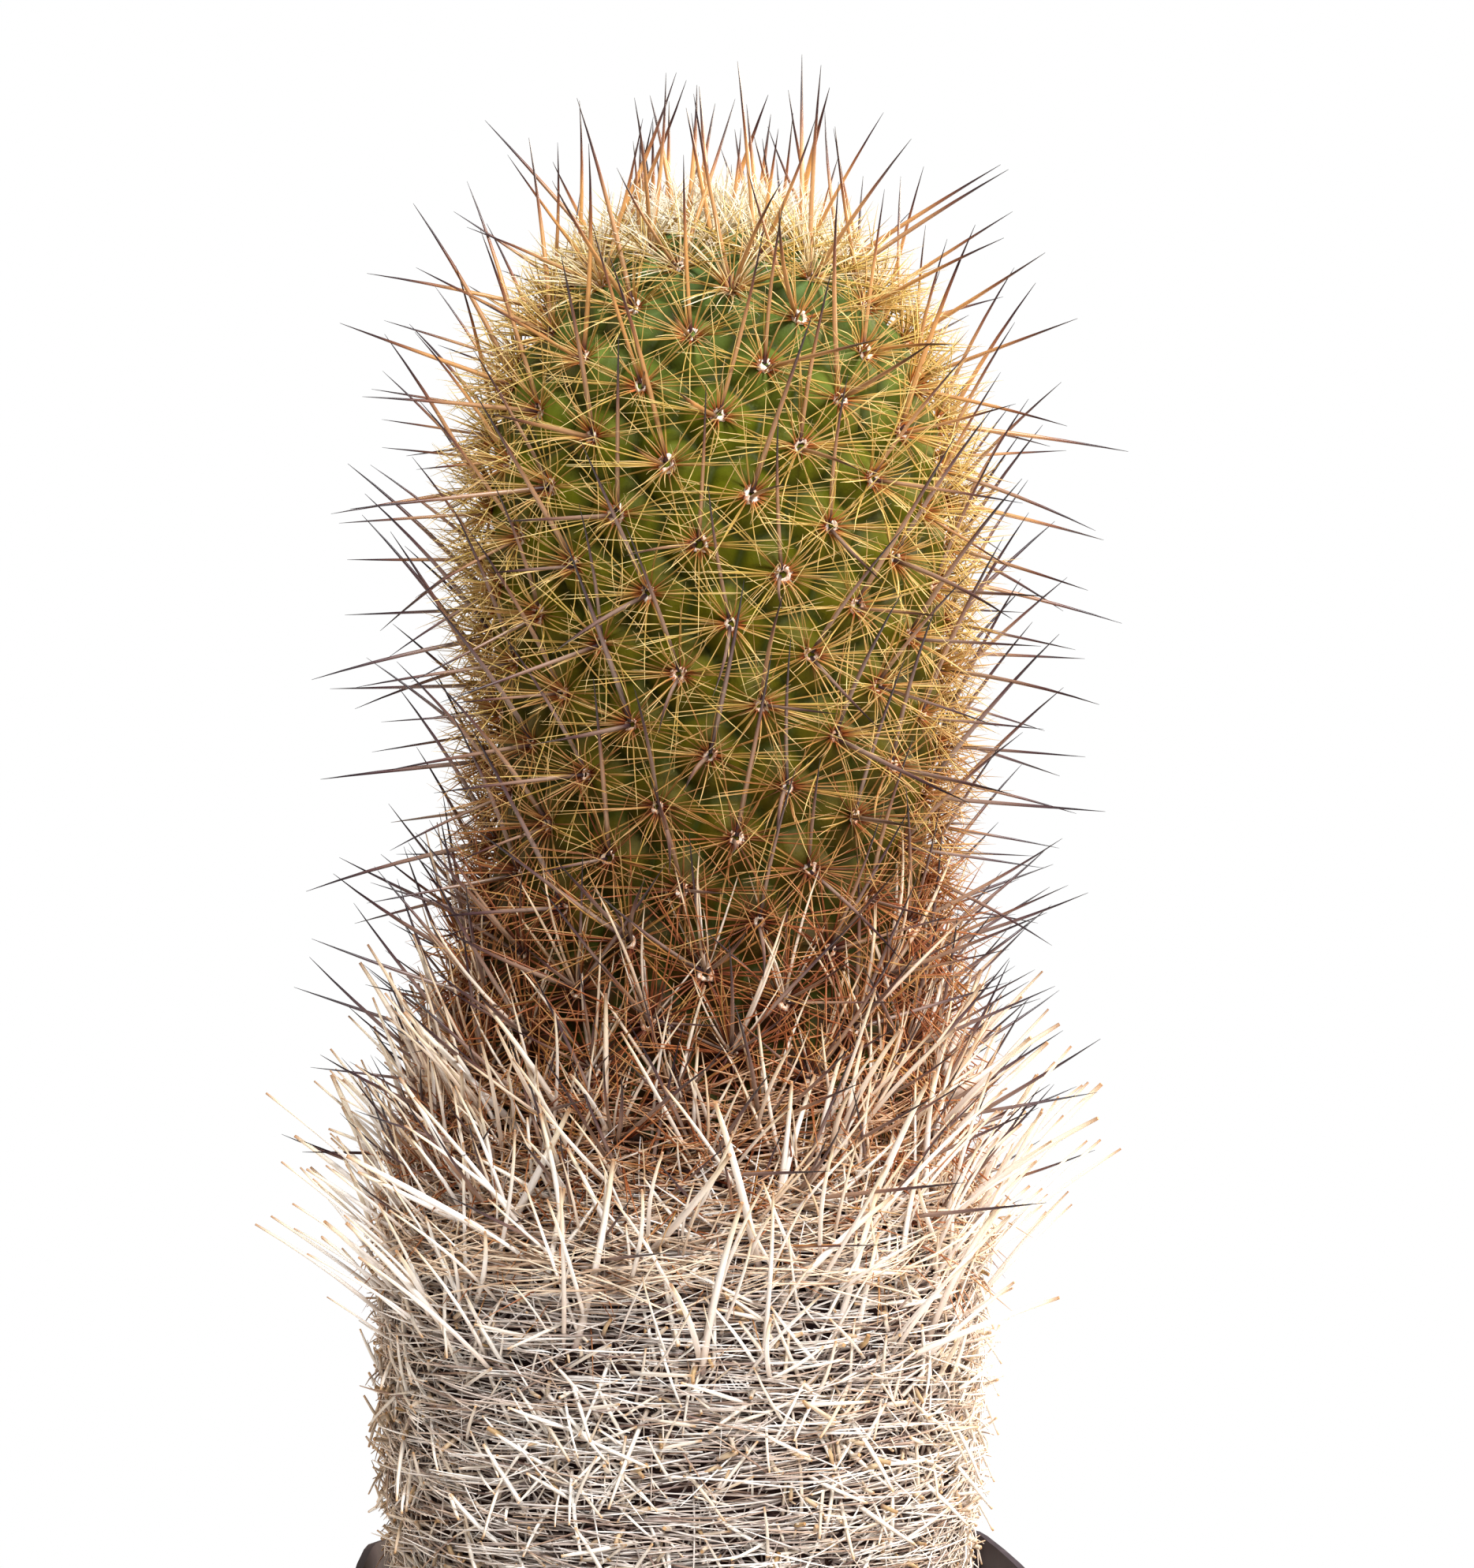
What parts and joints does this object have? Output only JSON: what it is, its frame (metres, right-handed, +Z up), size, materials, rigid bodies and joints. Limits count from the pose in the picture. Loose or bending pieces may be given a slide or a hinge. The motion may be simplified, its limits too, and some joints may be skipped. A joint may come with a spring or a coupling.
{
  "type": "potted tall cactus",
  "caption": "Spiny columnar cactus with a bleached, matted base, standing in a thin square nursery pot topped with gravel.",
  "frame": {"origin": "middle of the pot's flat underside, on the surface that the pot stands on", "axes": "+Z up along the plant; X and Y square to the pot's sides, and -Y the side that faces the viewer"},
  "size_m": [0.1128, 0.1079, 0.2847],
  "materials": {
    "pot_plastic": "satin",
    "potting_mix": "matte",
    "grey_stone": "matte",
    "cream_stone": "matte",
    "orange_stone": "matte",
    "cactus_skin": "satin",
    "young_spine": "satin",
    "old_spine": "matte"
  },
  "bodies": {
    "root": {"cactus_stem": "cactus_skin", "crown_spines": "young_spine", "pebble_01": "cream_stone", "pebble_02": "orange_stone", "pebble_03": "grey_stone", "pebble_04": "cream_stone", "pebble_05": "orange_stone", "pebble_06": "grey_stone", "pebble_07": "cream_stone", "pebble_08": "orange_stone", "pebble_09": "grey_stone", "pebble_10": "cream_stone", "pebble_11": "orange_stone", "pebble_12": "grey_stone", "pebble_13": "cream_stone", "pebble_14": "orange_stone", "pebble_15": "grey_stone", "pebble_16": "cream_stone", "pot": "pot_plastic", "potting_mix": "potting_mix", "spine_cluster_01": "young_spine", "spine_cluster_02": "young_spine", "spine_cluster_03": "young_spine", "spine_cluster_04": "young_spine", "spine_cluster_05": "young_spine", "spine_cluster_06": "young_spine", "spine_cluster_07": "young_spine", "spine_cluster_08": "young_spine", "spine_cluster_09": "young_spine", "spine_cluster_10": "young_spine", "spine_cluster_11": "young_spine", "spine_cluster_12": "young_spine", "spine_cluster_13": "young_spine", "spine_cluster_14": "young_spine", "spine_cluster_15": "young_spine", "spine_cluster_16": "young_spine", "spine_cluster_17": "young_spine", "spine_cluster_18": "young_spine", "spine_cluster_19": "young_spine", "spine_cluster_20": "young_spine", "spine_cluster_21": "young_spine", "spine_cluster_22": "young_spine", "spine_cluster_23": "young_spine", "spine_cluster_24": "young_spine", "spine_cluster_25": "young_spine", "spine_cluster_26": "young_spine", "spine_cluster_27": "young_spine", "spine_cluster_28": "young_spine", "spine_cluster_29": "young_spine", "spine_cluster_30": "young_spine", "spine_cluster_31": "young_spine", "spine_cluster_32": "young_spine", "spine_cluster_33": "young_spine", "spine_cluster_34": "young_spine", "spine_cluster_35": "young_spine", "spine_cluster_36": "young_spine", "spine_thatch": "old_spine"}
  },
  "joints": []
}
